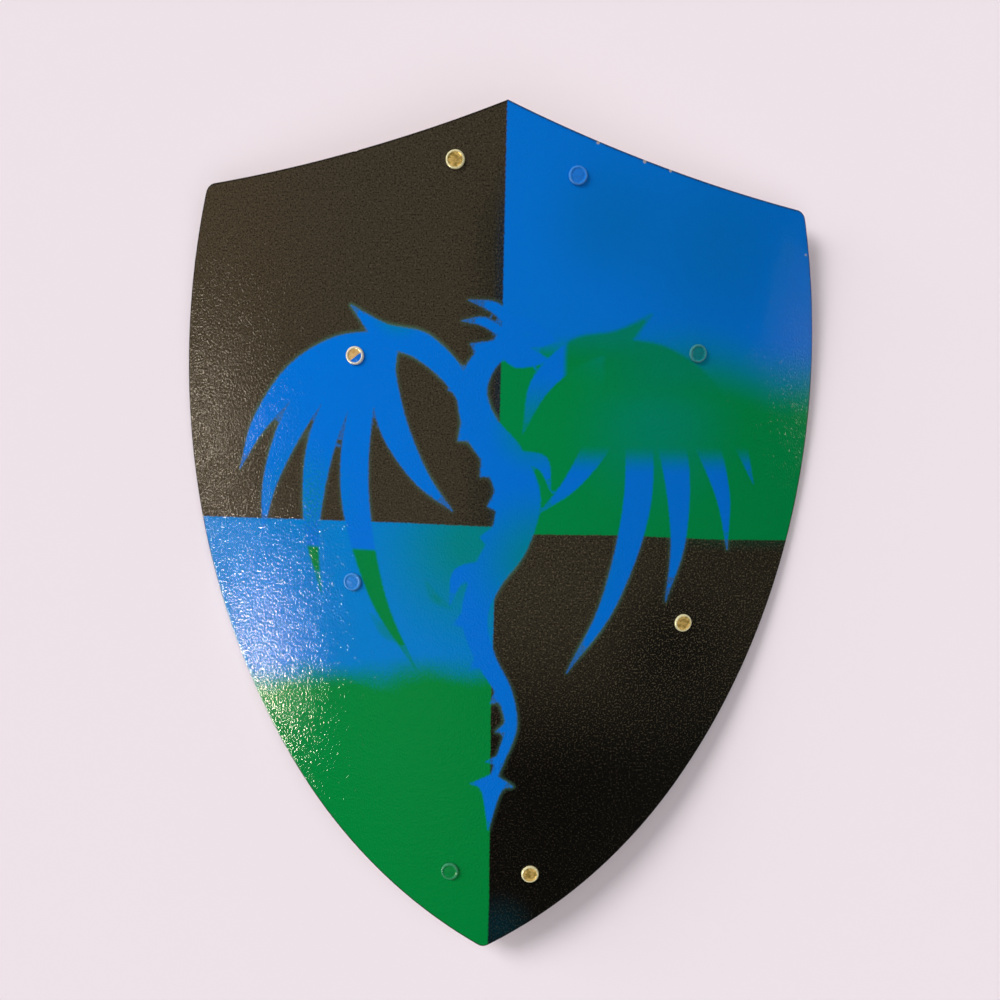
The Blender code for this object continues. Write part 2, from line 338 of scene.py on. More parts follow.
def stencil_field(points, parts):
    """Signed distance to a figure that is made by adding and cutting loops in turn."""
    field = np.full(len(points), -9.0)
    for loop, sign in parts:
        near = signed_distance(points, loop, 9.0)
        field = np.maximum(field, near) if sign > 0 else np.minimum(field, -near)
    return field


def inward(loop, depth):
    """A clockwise loop moved inwards, and the ways that point out of it."""
    along = np.roll(loop, -1, 0) - np.roll(loop, 1, 0)
    along /= np.hypot(along[:, 0], along[:, 1])[:, None]
    outwards = np.stack((-along[:, 1], along[:, 0]), 1)
    return loop - outwards * depth, outwards


def hole_loop(place):
    turn = np.linspace(0, 2 * math.pi, 16, endpoint=False)
    return np.stack((np.cos(turn), np.sin(turn)), 1) * HOLE_RADIUS + place


def triangulate(loops, extra, grid):
    """Triangles inside the first loop and outside the other ones, with a grid of points."""
    outline = loops[0]
    low = outline.min(0)
    high = outline.max(0)
    rows = np.arange(low[1], high[1], grid * 0.866)
    columns = np.arange(low[0], high[0], grid)
    mesh = np.stack(np.meshgrid(columns, rows), -1)
    mesh[1::2, :, 0] += grid / 2
    mesh = mesh.reshape(-1, 2)
    keep = signed_distance(mesh, outline) > grid * 0.5
    for loop in loops[1:]:
        keep &= signed_distance(mesh, loop, grid) < -grid * 0.5
    mesh = mesh[keep]
    for loop in extra:
        mesh = mesh[np.abs(signed_distance(mesh, loop, grid)) > grid * 0.4]
    points = []
    edges = []
    for loop in list(loops) + list(extra):
        base = len(points)
        points += loop.tolist()
        edges += [(base + i, base + (i + 1) % len(loop)) for i in range(len(loop))]
    points += mesh.tolist()
    vectors = [Vector(place) for place in points]
    result = geometry.delaunay_2d_cdt(vectors, edges, [], 0, 0.0005)
    where = np.array([tuple(place) for place in result[0]])
    faces = np.array(result[2])
    middle = where[faces].mean(1)
    inside = signed_distance(middle, outline) > 0
    for loop in loops[1:]:
        inside &= signed_distance(middle, loop, grid) < 0
    source = {}
    for number, origins in enumerate(result[3]):
        for origin in origins:
            source[origin] = number
    rings = []
    base = 0
    for loop in loops:
        rings.append([source[base + i] for i in range(len(loop))])
        base += len(loop)
    return where, faces[inside], rings


def rest_matrix():
    turn = Matrix.Rotation(REST_TILT, 4, "X")
    return Matrix.Translation(Vector(REST_PLACE)) @ turn


REST = rest_matrix()
REST_TURN = np.array(REST.to_3x3())


def place(sheet):
    """World places, in metres, of (across, along, height) rows in millimetres."""
    turn = sheet[:, 0] / BEND
    reach = BEND + sheet[:, 2]
    space = np.stack((reach * np.sin(turn), sheet[:, 1], reach * np.cos(turn) - BEND), 1)
    return (space @ REST_TURN.T + REST_PLACE) / 1000


def bent_normals(sheet, normals):
    turn = sheet[:, 0] / BEND
    across = normals[:, 0] * np.cos(turn) + normals[:, 2] * np.sin(turn)
    up = normals[:, 2] * np.cos(turn) - normals[:, 0] * np.sin(turn)
    return np.stack((across, normals[:, 1], up), 1) @ REST_TURN.T


def plate(outline, holes, extra, grids, front, back, rim):
    """A sheet with rounded rims: its places, normals, faces and where its back's begin."""
    steps = 4
    inner, outwards = inward(outline, rim)
    front_where, front_faces, front_rings = triangulate([inner] + holes, extra, grids[0])
    back_where, back_faces, back_rings = triangulate([inner] + holes, [], grids[1])
    count = len(front_where)
    rows = [np.column_stack((front_where, np.full(count, front)))]
    normals = [np.tile((0.0, 0.0, 1.0), (count, 1))]
    rows.append(np.column_stack((back_where, np.full(len(back_where), back))))
    normals.append(np.tile((0.0, 0.0, -1.0), (len(back_where), 1)))
    total = count + len(back_where)
    turns = [math.pi / 2 * i / steps for i in range(1, steps + 1)]
    profile = [(math.sin(t), math.cos(t), front - rim + rim * math.cos(t)) for t in turns]
    profile += [(math.sin(t), -math.cos(t), back + rim - rim * math.cos(t)) for t in turns[::-1]]
    rings = [front_rings[0]]
    for out, up, height in profile:
        ring = inner + outwards * rim * out
        rows.append(np.column_stack((ring, np.full(len(ring), height))))
        normals.append(np.column_stack((outwards * out, np.full(len(ring), up))))
        rings.append(list(range(total, total + len(ring))))
        total += len(ring)
    rings.append([number + count for number in back_rings[0]])
    faces = [tuple(face) for face in front_faces]
    size = len(inner)
    for upper, lower in zip(rings, rings[1:]):
        for i in range(size):
            j = (i + 1) % size
            faces.append((upper[i], upper[j], lower[j], lower[i]))
    walled = len(faces)
    faces += [tuple(face[::-1]) for face in back_faces + count]
    for ring_front, ring_back in zip(front_rings[1:], back_rings[1:]):
        size = len(ring_front)
        for i in range(size):
            j = (i + 1) % size
            lower = ring_back[i] + count, ring_back[j] + count
            faces.append((ring_front[j], ring_front[i], lower[0], lower[1]))
    return np.concatenate(rows), np.concatenate(normals), faces, walled


def add_mesh(name, places, faces, materials, normals=None):
    """A smooth mesh object in the scene."""
    mesh = bpy.data.meshes.new(name)
    mesh.from_pydata(np.asarray(places).tolist(), [], faces)
    for material in materials:
        mesh.materials.append(material)
    mesh.polygons.foreach_set("use_smooth", np.ones(len(mesh.polygons), bool))
    if normals is not None:
        mesh.normals_split_custom_set_from_vertices(normals.tolist())
    piece = bpy.data.objects.new(name, mesh)
    bpy.context.scene.collection.objects.link(piece)
    return piece


def add_values(piece, name, values):
    """Stores a value or a vector at each of the mesh's points."""
    kind = "FLOAT" if values.ndim == 1 else "FLOAT_VECTOR"
    attribute = piece.data.attributes.new(name, kind, "POINT")
    key = "value" if values.ndim == 1 else "vector"
    attribute.data.foreach_set(key, values.astype(np.float32).ravel())


def add_uv(piece, sheet):
    layer = piece.data.uv_layers.new(name="sheet")
    corners = np.empty(len(piece.data.loops), int)
    piece.data.loops.foreach_get("vertex_index", corners)
    places = sheet[corners, :2] / UV_SPAN + UV_SHIFT
    layer.data.foreach_set("uv", places.astype(np.float32).ravel())


def linear(red, green, blue):
    """A colour given as the 0 to 255 values it shows."""
    shown = np.array((red, green, blue)) / 255
    light = np.where(shown <= 0.04045, shown / 12.92, ((shown + 0.055) / 1.055) ** 2.4)
    return (*light.tolist(), 1.0)


class Nodes:
    """A short way to write the node tree of one material."""

    def __init__(self, name):
        self.material = bpy.data.materials.new(name)
        self.material.use_nodes = True
        self.tree = self.material.node_tree
        self.shader = self.tree.nodes["Principled BSDF"]

    def add(self, kind, inputs, **settings):
        node = self.tree.nodes.new(kind)
        for key, value in settings.items():
            setattr(node, key, value)
        for key, value in inputs.items():
            if isinstance(value, bpy.types.NodeSocket):
                self.tree.links.new(value, node.inputs[key])
            else:
                node.inputs[key].default_value = value
        return node

    def math(self, operation, first, second=0.0):
        return self.add("ShaderNodeMath", {0: first, 1: second}, operation=operation).outputs[0]

    def plus(self, first, second):
        return self.math("ADD", first, second)

    def minus(self, first, second):
        return self.math("SUBTRACT", first, second)

    def times(self, first, second):
        return self.math("MULTIPLY", first, second)

    def smooth(self, value, low, high, start=0.0, end=1.0):
        """Runs from start to end as the value goes from low to high."""
        inputs = {"Value": value, "From Min": low, "From Max": high, "To Min": start, "To Max": end}
        return self.add("ShaderNodeMapRange", inputs, interpolation_type="SMOOTHSTEP").outputs[0]

    def mix(self, share, first, second):
        node = self.add("ShaderNodeMix", {}, data_type="RGBA", clamp_factor=True)
        for number, value in ((0, share), (6, first), (7, second)):
            if isinstance(value, bpy.types.NodeSocket):
                self.tree.links.new(value, node.inputs[number])
            else:
                node.inputs[number].default_value = value
        return node.outputs[2]

    def values(self, name):
        return self.add("ShaderNodeAttribute", {}, attribute_name=name)

    def scaled(self, vector, size):
        node = self.add("ShaderNodeVectorMath", {0: vector, 1: size}, operation="MULTIPLY")
        return node.outputs[0]

    def noise(self, vector, scale, detail=2.0, roughness=0.5):
        inputs = {"Vector": vector, "Scale": scale, "Detail": detail, "Roughness": roughness}
        return self.add("ShaderNodeTexNoise", inputs).outputs["Fac"]

    def cells(self, vector, scale):
        inputs = {"Vector": vector, "Scale": scale}
        return self.add("ShaderNodeTexVoronoi", inputs).outputs["Distance"]

    def parts(self, vector):
        node = self.add("ShaderNodeSeparateXYZ", {0: vector})
        return node.outputs[0], node.outputs[1], node.outputs[2]

    def spot(self, across, along, place, radius):
        """1 at a place on the sheet, fading to 0 at the radius."""
        side = self.math("POWER", self.minus(across, place[0]), 2.0)
        up = self.math("POWER", self.minus(along, place[1]), 2.0)
        away = self.math("SQRT", self.plus(side, up))
        return self.smooth(away, 0.0, radius, 1.0, 0.0)

    def finish(self, colour, roughness, height, **others):
        """Gives the shader its linked values, with the bumps' height in metres."""
        self.tree.links.new(colour, self.shader.inputs["Base Color"])
        self.tree.links.new(roughness, self.shader.inputs["Roughness"])
        for key, value in others.items():
            self.shader.inputs[key].default_value = value
        bump = self.add("ShaderNodeBump", {"Height": height, "Distance": 1.0, "Strength": 1.0})
        self.tree.links.new(bump.outputs[0], self.shader.inputs["Normal"])
        return self.material


# Colours of the paint and of the bare wood; the black paint's warm browns hold a painted warm
# reflection
BLACK_UPPER = linear(60, 53, 41)
BLACK_LOWER = linear(53, 48, 37)
# A painted highlight colour, for the light specks on the black paint
PAINTED_GLINT = linear(106, 95, 74)
BLUE_UPPER = linear(0, 110, 205)
BLUE_SMUDGE = linear(0, 100, 168)
BLUE_LOWER = linear(0, 120, 197)
BLUE_FIGURE = linear(0, 109, 208)
TEAL = linear(0, 126, 130)
GREEN_UPPER = linear(0, 130, 66)
GREEN_LOWER = linear(0, 128, 56)
EDGE_BLACK = linear(22, 20, 18)
BARE_WOOD = linear(196, 176, 142)


def quarter_ground(n, across, along, seam, band, cloud):
    """The four painted quarters without their figure, with painted reflection and shade on the
    black ones.
    """
    slope = n.plus(n.minus(along, 19.0), n.smooth(across, 90.0, 155.0, 0.0, 12.0))
    slope = n.plus(slope, n.times(cloud, 8.0))
    near = n.smooth(across, 20.0, 100.0)
    late = n.times(n.smooth(slope, -8.0, 7.0), n.minus(1.0, near))
    upper_share = n.plus(late, n.times(n.smooth(slope, -22.0, 18.0), near))
    blue = n.mix(n.times(n.spot(across, along, (50, 80), 44.0), 0.5), BLUE_UPPER, BLUE_SMUDGE)
    blue = n.mix(n.times(n.spot(across, along, (104, 70), 60.0), 0.5), blue, BLUE_SMUDGE)
    green = n.mix(n.times(n.spot(across, along, (80, -20), 52.0), 0.4), GREEN_UPPER, TEAL)
    upper = n.mix(upper_share, green, blue)
    slope = n.plus(n.minus(along, n.times(across, 0.08)), n.times(cloud, 26.0))
    ripple = n.minus(n.noise(n.values("sheet").outputs["Vector"], 0.9), 0.5)
    slope = n.plus(slope, n.times(ripple, 9.0))
    lower_share = n.smooth(slope, -153.0, -135.0)
    teal = n.times(n.spot(across, along, (-6, -80), 66.0), 1.1)
    low_blue = n.mix(teal, BLUE_LOWER, TEAL)
    lower = n.mix(lower_share, GREEN_LOWER, low_blue)
    # The upper left black is lighter and warmer towards its left edge, a painted warm reflection,
    # and darker at its top by the seam, a painted shade.
    brown = n.mix(n.smooth(across, -60.0, -160.0), BLACK_UPPER, linear(68, 58, 44))
    painted_seam_shade = n.times(n.smooth(across, -24.0, 0.0), n.smooth(along, 112.0, 64.0))
    brown = n.mix(painted_seam_shade, brown, linear(46, 43, 34))
    mist = n.smooth(n.values("seam").outputs["Fac"], -6.0, 0.5)
    mist = n.times(n.times(mist, n.smooth(along, 112.0, 64.0)), 0.6)
    brown = n.mix(mist, brown, linear(16, 42, 62))
    # The lower right black is darker towards the bottom and the right and in a patch low on the
    # right: painted shade away from the reflection.
    black = n.mix(n.smooth(along, -205.0, -95.0), linear(10, 9, 7), BLACK_LOWER)
    black = n.mix(n.times(n.smooth(across, 30.0, 120.0), 0.5), black, linear(20, 20, 17))
    black = n.mix(n.times(n.spot(across, along, (92, -132), 48.0), 0.7), black, linear(10, 10, 9))
    mist = n.smooth(n.values("band").outputs["Fac"], -7.5, 0.5)
    mist = n.times(n.times(mist, n.smooth(across, 70.0, 120.0)), 0.6)
    black = n.mix(mist, black, linear(20, 62, 42))
    spray = n.times(n.spot(across, along, (8, -284), 24.0), 0.8)
    black = n.mix(spray, black, linear(2, 40, 48))
    left = n.mix(band, lower, brown)
    right = n.mix(band, black, upper)
    return n.mix(seam, left, right)


def paint_material():
    """Gloss spray paint with an orange peel: four quarters, the dragon and dark edges, with painted
    highlights on the black paint's specks and on the lower left rim.
    """
    n = Nodes("sprayed_paint")
    sheet = n.values("sheet").outputs["Vector"]
    across, along, _ = n.parts(sheet)
    wobble = n.minus(n.noise(sheet, 0.7, 2.0), 0.5)
    cloud = n.minus(n.noise(sheet, 0.02, 3.0), 0.5)
    dust = n.noise(sheet, 1.9, 2.0, 0.6)

    seam = n.smooth(n.plus(n.values("seam").outputs["Fac"], wobble), -0.45, 0.45)
    band = n.smooth(n.plus(n.values("band").outputs["Fac"], wobble), -0.45, 0.45)
    ground = quarter_ground(n, across, along, seam, band, cloud)

    coloured = n.plus(n.times(seam, band), n.times(n.minus(1.0, seam), n.minus(1.0, band)))
    bare = n.minus(1.0, coloured)
    # Small dark flecks in the bare black paint.
    dark_flecks = n.smooth(n.noise(sheet, 1.2, 1.0), 0.5, 0.36)
    ground = n.mix(n.times(n.times(dark_flecks, bare), 0.65), ground, linear(16, 13, 10))
    # Light specks on the bare black paint are painted highlights of its orange peel, fainter lower
    # down and in the upper left.
    glint_specks = n.smooth(n.noise(sheet, 1.05, 1.0, 0.6), 0.52, 0.72)
    glint_specks = n.times(glint_specks, n.smooth(along, -215.0, -120.0, 0.14, 0.55))
    glint_specks = n.times(glint_specks, n.minus(1.0, n.times(band, 0.45)))
    ground = n.mix(n.times(glint_specks, bare), ground, PAINTED_GLINT)

    edge = n.plus(n.times(wobble, 0.9), n.times(n.minus(dust, 0.5), 1.6))
    blue_gap = n.plus(n.values("blue").outputs["Fac"], edge)
    green_gap = n.plus(n.values("green").outputs["Fac"], edge)
    halo = n.smooth(blue_gap, -2.6, 0.3)
    halo = n.times(halo, n.plus(0.2, n.times(n.smooth(cloud, -0.1, 0.2), 0.45)))
    ground = n.mix(n.times(halo, bare), ground, linear(72, 116, 92))

    right_top = n.smooth(along, -28.0, -44.0)
    right_side = n.smooth(across, 30.0, 34.0)
    wing_share = n.plus(n.minus(1.0, right_side), n.times(right_side, right_top))
    low_left = n.times(n.smooth(along, -84.0, -86.0), n.smooth(across, -30.0, -34.0))
    blue_share = n.times(n.smooth(blue_gap, -0.7, 0.6), n.minus(wing_share, low_left))
    mottle = n.times(n.spot(across, along, (-98, -62), 34.0), 0.7)
    mottle = n.times(mottle, n.smooth(n.noise(sheet, 0.8, 3.0), 0.35, 0.65))
    blue = n.mix(mottle, BLUE_FIGURE, TEAL)
    for spot, size in (((19, -20), 27.0), ((24, -88), 44.0), ((-50, 35), 17.0)):
        blue = n.mix(n.times(n.spot(across, along, spot, size), 0.95), blue, TEAL)
    face = n.mix(blue_share, ground, blue)

    arcs = n.times(n.smooth(green_gap, -1.5, 1.4), n.smooth(along, -14.0, 20.0, 0.0, 0.85))
    blades = n.times(n.smooth(green_gap, -0.9, 0.7), n.smooth(along, -166.0, -148.0, 0.3, 1.0))
    green_share = n.plus(n.times(right_side, arcs), n.times(low_left, blades))
    green = n.mix(n.times(n.smooth(along, -140.0, -156.0), 0.7), linear(0, 125, 60), TEAL)
    face = n.mix(green_share, face, green)
    faint = n.smooth(n.plus(n.values("faint").outputs["Fac"], edge), -1.6, 1.2)
    face = n.mix(n.times(faint, 0.45), face, linear(0, 124, 60))

    rim = n.values("rim").outputs["Fac"]
    rim_share = n.smooth(n.plus(rim, n.times(wobble, 0.9)), 1.3, 0.5)
    # The dark rim turns pale near the lower left: a painted highlight where the glare falls.
    rim_glint = n.math("MINIMUM", n.times(n.spot(across, along, (-126, -148), 80.0), 1.4), 1.0)
    face = n.mix(n.times(rim_share, 0.75), face, n.mix(rim_glint, EDGE_BLACK, linear(196, 208, 196)))
    for spot, size in CHIPS:
        chip = n.smooth(n.plus(n.spot(across, along, spot, size), n.times(wobble, 0.8)), 0.25, 0.5)
        face = n.mix(n.times(chip, 0.6), face, BARE_WOOD)

    peel = n.noise(n.scaled(sheet, (1.0, 0.8, 1.0)), 1.02, 1.0, 0.4)
    swell = n.noise(n.scaled(sheet, (0.6, 1.0, 1.0)), 0.3, 1.0)
    height = n.plus(n.times(peel, 0.00023), n.times(swell, 0.00012))
    grain = n.plus(height, n.times(dust, 0.00003))
    roughness = n.plus(0.05, n.times(dust, 0.06))
    return n.finish(face, roughness, grain)


def plywood_material():
    """The bare back: plain birch ply with black overspray along its rim."""
    n = Nodes("bare_plywood")
    sheet = n.values("sheet").outputs["Vector"]
    long_grain = n.noise(n.scaled(sheet, (1.0, 0.035, 1.0)), 0.55, 4.0, 0.6)
    figure = n.noise(n.scaled(sheet, (1.0, 0.12, 1.0)), 0.06, 3.0, 0.6)
    pores = n.noise(n.scaled(sheet, (1.0, 0.06, 1.0)), 2.4, 2.0, 0.7)
    wood = n.mix(n.smooth(long_grain, 0.3, 0.7), linear(212, 184, 142), linear(186, 152, 108))
    wood = n.mix(n.smooth(figure, 0.4, 0.75), wood, linear(172, 136, 92))
    wood = n.mix(n.times(n.smooth(pores, 0.62, 0.72), 0.5), wood, linear(128, 96, 62))
    rim = n.values("rim").outputs["Fac"]
    cloud = n.noise(sheet, 0.09, 3.0)
    spray = n.smooth(n.plus(rim, n.times(cloud, 12.0)), 16.0, 4.0)
    wood = n.mix(n.times(spray, 0.9), wood, EDGE_BLACK)
    height = n.plus(n.times(long_grain, 0.00004), n.times(pores, 0.00003))
    return n.finish(wood, n.plus(0.55, n.times(long_grain, 0.15)), height)


def brass_material():
    """Polished brass, darker towards the middle of its head, with a painted highlight on its rim.
    """
    n = Nodes("brass")
    local = n.values("turned").outputs["Vector"]
    cloud = n.noise(local, 0.6, 3.0)
    scratch = n.noise(n.scaled(local, (0.4, 2.0, 1.0)), 2.0, 2.0)
    brass = n.mix(n.smooth(cloud, 0.4, 0.65), linear(246, 206, 120), linear(168, 140, 66))
    radius = n.values("radius").outputs["Fac"]
    # Darker towards the middle of the head.
    brass = n.mix(n.times(n.smooth(radius, 3.5, 1.0), 0.4), brass, linear(150, 118, 50))
    # A bright ring on the rolled rim is a painted highlight.
    brass = n.mix(n.times(n.smooth(radius, 3.45, 3.8), 0.85), brass, linear(255, 248, 200))
    height = n.plus(n.times(cloud, 0.00012), n.times(scratch, 0.00001))
    return n.finish(brass, n.plus(0.2, n.times(scratch, 0.16)), height, Metallic=0.35)


def painted_brass_material(name, colour, split=None):
    """A brass rivet with paint on its head, bare on one side of a split line if given, with painted
    highlights on its rim.
    """
    n = Nodes(name)
    local = n.values("turned").outputs["Vector"]
    across, along, rise = n.parts(local)
    cloud = n.noise(local, 0.7, 3.0)
    wobble = n.minus(n.noise(local, 1.4, 2.0), 0.5)
    radius = n.values("radius").outputs["Fac"]
    crest = n.smooth(radius, 3.2, 3.5)
    shade = tuple(part * 0.88 for part in colour[:3]) + (1.0,)
    paint = n.mix(n.smooth(cloud, 0.35, 0.7), colour, shade)
    # A pale ring on the paint of the rim is a painted highlight.
    rim_glint = n.smooth(n.plus(radius, n.times(wobble, 2.0)), 3.2, 3.9)
    paint = n.mix(n.times(rim_glint, 0.12), paint, linear(150, 205, 215))
    side = n.smooth(rise, -3.0, -1.0)
    if split is not None:
        slant = n.plus(n.times(across, split[0]), n.times(along, split[1]))
        slant = n.smooth(n.plus(slant, n.times(wobble, 0.8)), split[2] - 0.2, split[2] + 0.2)
        side = n.times(side, n.times(slant, n.minus(1.0, n.times(crest, 0.75))))
    gold = n.mix(n.smooth(cloud, 0.35, 0.7), linear(250, 206, 136), linear(226, 176, 104))
    # A bright ring on the bare brass crest is a painted highlight.
    gold = n.mix(n.times(crest, 0.85), gold, linear(255, 248, 216))
    face = n.mix(side, gold, paint)
    height = n.plus(n.times(cloud, 0.0002), n.times(wobble, 0.00006))
    n.tree.links.new(n.times(n.minus(1.0, side), 0.35), n.shader.inputs["Metallic"])
    return n.finish(face, n.plus(0.15, n.times(cloud, 0.12)), height)


def leather_material():
    """Brown strap leather with a pebbled grain and dark burnished edges."""
    n = Nodes("strap_leather")
    sheet = n.values("sheet").outputs["Vector"]
    pebble = n.cells(sheet, 0.9)
    cloud = n.noise(sheet, 0.09, 4.0, 0.6)
    fibre = n.noise(sheet, 1.6, 3.0, 0.6)
    hide = n.mix(n.smooth(cloud, 0.3, 0.7), linear(112, 68, 38), linear(82, 46, 25))
    hide = n.mix(n.times(n.smooth(pebble, 0.2, 0.7), 0.35), hide, linear(58, 32, 18))
    rim = n.values("rim").outputs["Fac"]
    hide = n.mix(n.times(n.smooth(n.plus(rim, fibre), 1.8, 0.4), 0.85), hide, linear(38, 22, 14))
    crease = n.times(n.smooth(rim, 2.2, 2.7), n.smooth(rim, 3.3, 2.8))
    hide = n.mix(n.times(crease, 0.6), hide, linear(44, 25, 15))
    height = n.plus(n.times(pebble, -0.00012), n.times(fibre, 0.00005))
    return n.finish(hide, n.plus(0.42, n.times(fibre, 0.25)), height)


def seam_across(along):
    """Where the line between left and right quarters runs."""
    return np.interp(along, (-268, -214, -160, -72, 40, 129), (2.6, 1.5, 0.5, 0.8, 0.4, -0.3))


def band_along(across):
    """Where the line between upper and lower quarters runs; it steps at the seam."""
    left = np.interp(across, (-157, -100, -48, 0), (-74.3, -71.5, -70.3, -70.6))
    right = np.interp(across, (0, 64, 113, 155), (-74.0, -73.7, -76.2, -77.7))
    return np.where(across < 1.0, left, right)


def add_board():
    """The painted board, with the dragon's outlines drawn into its face."""
    outline = board_outline()
    nick = NICK_REACH - np.hypot(*(outline - NICK_PLACE).T)
    _, outwards = inward(outline, 0)
    outline = outline - outwards * (NICK_DEPTH * np.clip(nick, 0, 1))[:, None]
    holes = [hole_loop(spot) for spot in RIVETS.values()]
    whole, wings = dragon()
    blue = [(smooth_loop(corners), sign) for corners, sign in whole]
    green = [(smooth_loop(corners), sign) for corners, sign in wings]
    faint = [(smooth_loop(ribbon(path)), 1) for path in FAINT_STROKES]
    extra = [loop for loop, _ in blue + faint]
    sheet, normals, faces, walled = plate(
        outline, holes, extra, (FACE_GRID, BACK_GRID), 0.0, -THICKNESS, RIM_ROUND
    )
    piece = add_mesh(
        "board", place(sheet), faces, [paint_material(), plywood_material()],
        bent_normals(sheet, normals),
    )
    slots = np.zeros(len(faces), int)
    slots[walled:] = 1
    piece.data.polygons.foreach_set("material_index", slots)
    flat = sheet[:, :2]
    add_values(piece, "sheet", sheet)
    add_values(piece, "rim", signed_distance(flat, outline))
    fields = {
        "blue": stencil_field(flat, blue),
        "green": stencil_field(flat, green),
        "faint": stencil_field(flat, faint),
        "seam": flat[:, 0] - seam_across(flat[:, 1]),
        "band": flat[:, 1] - band_along(flat[:, 0]),
    }
    for name, field in fields.items():
        add_values(piece, name, np.clip(field, -FIELD_LIMIT, FIELD_LIMIT))
    add_uv(piece, sheet)
    finish_piece(piece, "shield_board")


def add_strap(name, leather):
    """One leather strap, bowed off the board between its two rivets, with creased edges."""
    across, top, bottom, bow = STRAPS[name]
    front = -THICKNESS - SEAT_GAP
    outline = strap_outline(across, top, bottom)
    holes = [hole_loop((across, top)), hole_loop((across, bottom))]
    sheet, normals, faces, _ = plate(
        outline, holes, [], (STRAP_GRID, STRAP_GRID), front, front - STRAP_THICKNESS, STRAP_ROUND
    )
    rim = signed_distance(sheet[:, :2], outline)
    middle = (top + bottom) / 2
    reach = (top - bottom) / 2 - CAP_RADIUS - STRAP_SEAT_MARGIN
    share = np.clip(np.abs(sheet[:, 1] - middle) / reach, 0, 1)
    lift = bow * (1 + np.cos(math.pi * share)) / 2
    crease = np.exp(-(((rim - 2.8) / 0.5) ** 2)) * 0.3
    flat = sheet.copy()
    sheet[:, 2] += np.where(normals[:, 2] < -0.9, crease, 0) - lift
    piece = add_mesh(name + "_leather", place(sheet), faces, [leather])
    add_values(piece, "sheet", flat)
    add_values(piece, "rim", rim)
    add_uv(piece, flat)
    finish_piece(piece, name)


def rivet_profile(grip):
    """Half section of a rivet from the middle of its head to the middle of its back cap."""
    top = SEAT_GAP + HEAD_HEIGHT
    under = -grip - SEAT_GAP
    bottom = under - CAP_HEIGHT
    return [
        (0.0, top - 0.22), (1.0, top - 0.24), (2.0, top - 0.3), (2.7, top - 0.4),
        (3.05, top - 0.42), (3.3, top - 0.28), (3.55, top - 0.08), (3.8, top),
        (4.05, top - 0.04), (4.3, top - 0.2), (4.5, top - 0.5), (4.58, top - 0.8),
        (HEAD_RADIUS, top - 1.05), (4.5, SEAT_GAP + 0.06), (4.3, SEAT_GAP),
        (SHANK_RADIUS, SEAT_GAP), (SHANK_RADIUS, under), (3.9, under), (4.1, under - 0.12),
        (CAP_RADIUS, under - 0.4), (4.0, bottom + 0.2), (3.5, bottom + 0.04), (3.0, bottom),
        (0.0, bottom),
    ]


def add_rivet(name, material):
    """One turned rivet, square to the board, with small dents in its head."""
    strapped = "strap" in name
    grip = THICKNESS + (SEAT_GAP + STRAP_THICKNESS if strapped else 0)
    profile = rivet_profile(grip)
    spot = RIVETS[name]
    turns = np.linspace(0, 2 * math.pi, TURNS, endpoint=False)
    rows = [np.array([(0.0, 0.0, profile[0][1])])]
    for radius, height in profile[1:-1]:
        ring = np.stack((radius * np.cos(turns), radius * np.sin(turns)), 1)
        rows.append(np.column_stack((ring, np.full(TURNS, height))))
    rows.append(np.array([(0.0, 0.0, profile[-1][1])]))
    local = np.concatenate(rows)
    for row in local:
        if row[2] > SEAT_GAP + 0.5:
            where = Vector((row[0] * 0.5 + spot[0], row[1] * 0.5 + spot[1], 0))
            row[2] -= 0.14 * max(noise.noise(where), 0)
    faces = [(0, 1 + i, 1 + (i + 1) % TURNS) for i in range(TURNS)]
    rings = len(profile) - 2
    for ring in range(rings - 1):
        base = 1 + ring * TURNS
        for i in range(TURNS):
            j = (i + 1) % TURNS
            faces.append((base + i, base + TURNS + i, base + TURNS + j, base + j))
    last = len(local) - 1
    base = last - TURNS
    faces += [(last, base + (i + 1) % TURNS, base + i) for i in range(TURNS)]
    angle = spot[0] / BEND
    turn = Matrix.Rotation(angle, 3, "Y")
    foot = np.array((BEND * math.sin(angle), spot[1], BEND * math.cos(angle) - BEND))
    space = local @ np.array(turn).T + foot
    world = (space @ REST_TURN.T + REST_PLACE) / 1000
    piece = add_mesh(name + "_turned", world, faces, [material])
    piece.data.set_sharp_from_angle(angle=math.radians(50))
    add_values(piece, "turned", local + (spot[0], spot[1], 0))
    add_values(piece, "radius", np.hypot(local[:, 0], local[:, 1]))
    finish_piece(piece, name)


def finish_piece(piece, node):
    """Lets a piece stand for its node, on the one body."""
    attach(piece, "root")
    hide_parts(node)


def add_rivets():
    brass = brass_material()
    across, along = RIVETS["rivet_hand_strap_top"]
    middle = SPLIT_SLANT[0] * across + SPLIT_SLANT[1] * along
    split = (*SPLIT_SLANT, middle + SPLIT_SHIFT)
    finishes = {
        "rivet_peak_right": painted_brass_material("blue_rivet", linear(14, 116, 212)),
        "rivet_hand_strap_top": painted_brass_material("half_blue_rivet", BLUE_FIGURE, split),
        "rivet_hand_strap_bottom": painted_brass_material("low_blue_rivet", linear(30, 124, 208)),
        "rivet_arm_strap_top": painted_brass_material("teal_rivet", linear(0, 118, 122)),
        "rivet_tip_left": painted_brass_material("green_rivet", linear(0, 130, 60)),
    }
    for name in RIVETS:
        add_rivet(name, finishes.get(name, brass))


